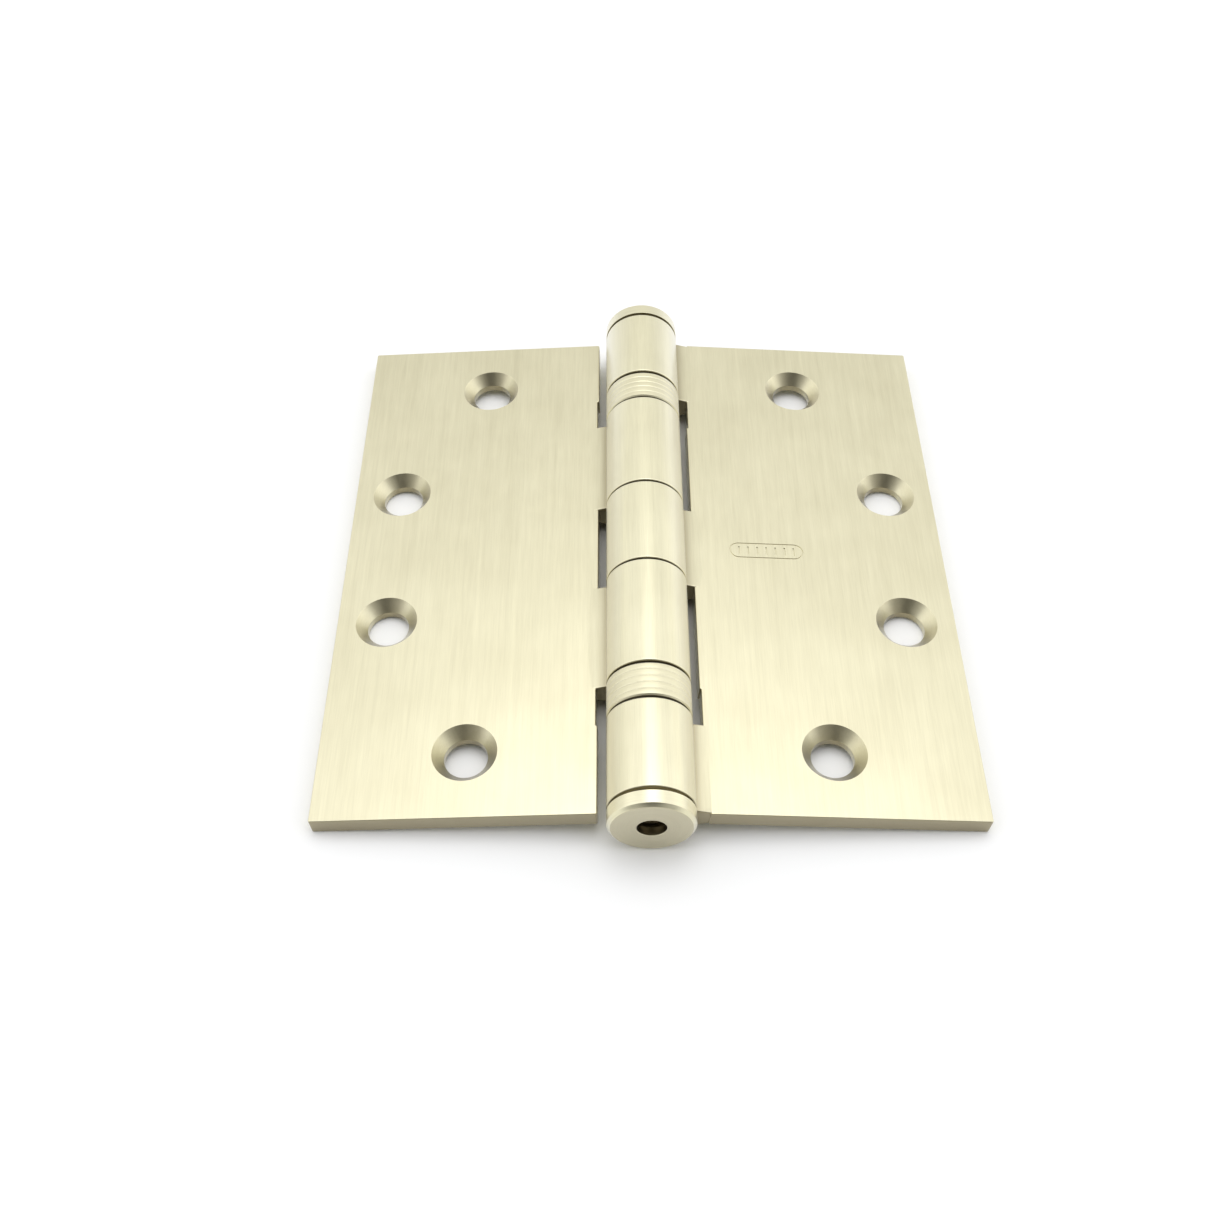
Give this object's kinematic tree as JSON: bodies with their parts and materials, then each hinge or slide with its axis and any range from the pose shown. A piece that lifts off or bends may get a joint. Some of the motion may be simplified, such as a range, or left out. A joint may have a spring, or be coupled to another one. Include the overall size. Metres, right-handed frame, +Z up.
{
  "type": "door hinge",
  "caption": "Full-mortise ball-bearing butt hinge with square corners, countersunk screw holes and a loose pin with a flat button tip, shown lying open.",
  "frame": {"origin": "on the surface the open hinge lies on, under the middle of the barrel", "axes": "+Y along the pin towards its button tip, +X towards the frame leaf, +Z up from the surface"},
  "size_m": [0.114, 0.121, 0.0149],
  "materials": {
    "leaf_nickel": "satin nickel plate, brushed along the barrel",
    "turned_nickel": "satin nickel plate on turned faces",
    "bearing_nickel": "satin nickel plate with fine turned rings",
    "pin_steel": "ground steel, lightly oiled",
    "race_steel": "hardened and ground steel",
    "ball_steel": "polished steel balls"
  },
  "bodies": {
    "frame_side": {"frame_leaf": "leaf_nickel", "bottom_plug": "turned_nickel", "upper_bearing_case": "bearing_nickel", "upper_frame_race": "race_steel", "lower_bearing_case": "bearing_nickel", "lower_frame_race": "race_steel"},
    "door_side": {"door_leaf": "leaf_nickel", "upper_door_race": "race_steel", "lower_door_race": "race_steel"},
    "pin": {"hinge_pin": "pin_steel", "pin_tip": "turned_nickel"},
    "upper_ball_set": {"upper_ball_1": "ball_steel", "upper_ball_2": "ball_steel", "upper_ball_3": "ball_steel", "upper_ball_4": "ball_steel", "upper_ball_5": "ball_steel", "upper_ball_6": "ball_steel", "upper_ball_7": "ball_steel", "upper_ball_8": "ball_steel", "upper_ball_9": "ball_steel", "upper_ball_10": "ball_steel", "upper_ball_11": "ball_steel", "upper_ball_12": "ball_steel", "upper_ball_13": "ball_steel", "upper_ball_14": "ball_steel"},
    "lower_ball_set": {"lower_ball_1": "ball_steel", "lower_ball_2": "ball_steel", "lower_ball_3": "ball_steel", "lower_ball_4": "ball_steel", "lower_ball_5": "ball_steel", "lower_ball_6": "ball_steel", "lower_ball_7": "ball_steel", "lower_ball_8": "ball_steel", "lower_ball_9": "ball_steel", "lower_ball_10": "ball_steel", "lower_ball_11": "ball_steel", "lower_ball_12": "ball_steel", "lower_ball_13": "ball_steel", "lower_ball_14": "ball_steel"}
  },
  "joints": [
    {"name": "leaf_swing", "type": "hinge", "parent": "frame_side", "child": "door_side", "pos_m": [0, 0, 0.00743], "axis": [0, 1, 0], "range_deg": [-118, 186.49]},
    {"name": "pin_slide", "type": "slide", "parent": "frame_side", "child": "pin", "axis": [0, 1, 0], "range_m": [0, 0.116]},
    {"name": "upper_balls_orbit", "type": "hinge", "parent": "frame_side", "child": "upper_ball_set", "pos_m": [0, 0, 0.00743], "axis": [0, 1, 0], "range_deg": [-59.5, 93.75]},
    {"name": "lower_balls_orbit", "type": "hinge", "parent": "frame_side", "child": "lower_ball_set", "pos_m": [0, 0, 0.00743], "axis": [0, 1, 0], "range_deg": [-59.5, 93.75]}
  ],
  "couplings": [
    {"joint": "upper_balls_orbit", "follows": "leaf_swing", "ratio": 0.5},
    {"joint": "lower_balls_orbit", "follows": "leaf_swing", "ratio": 0.5}
  ]
}
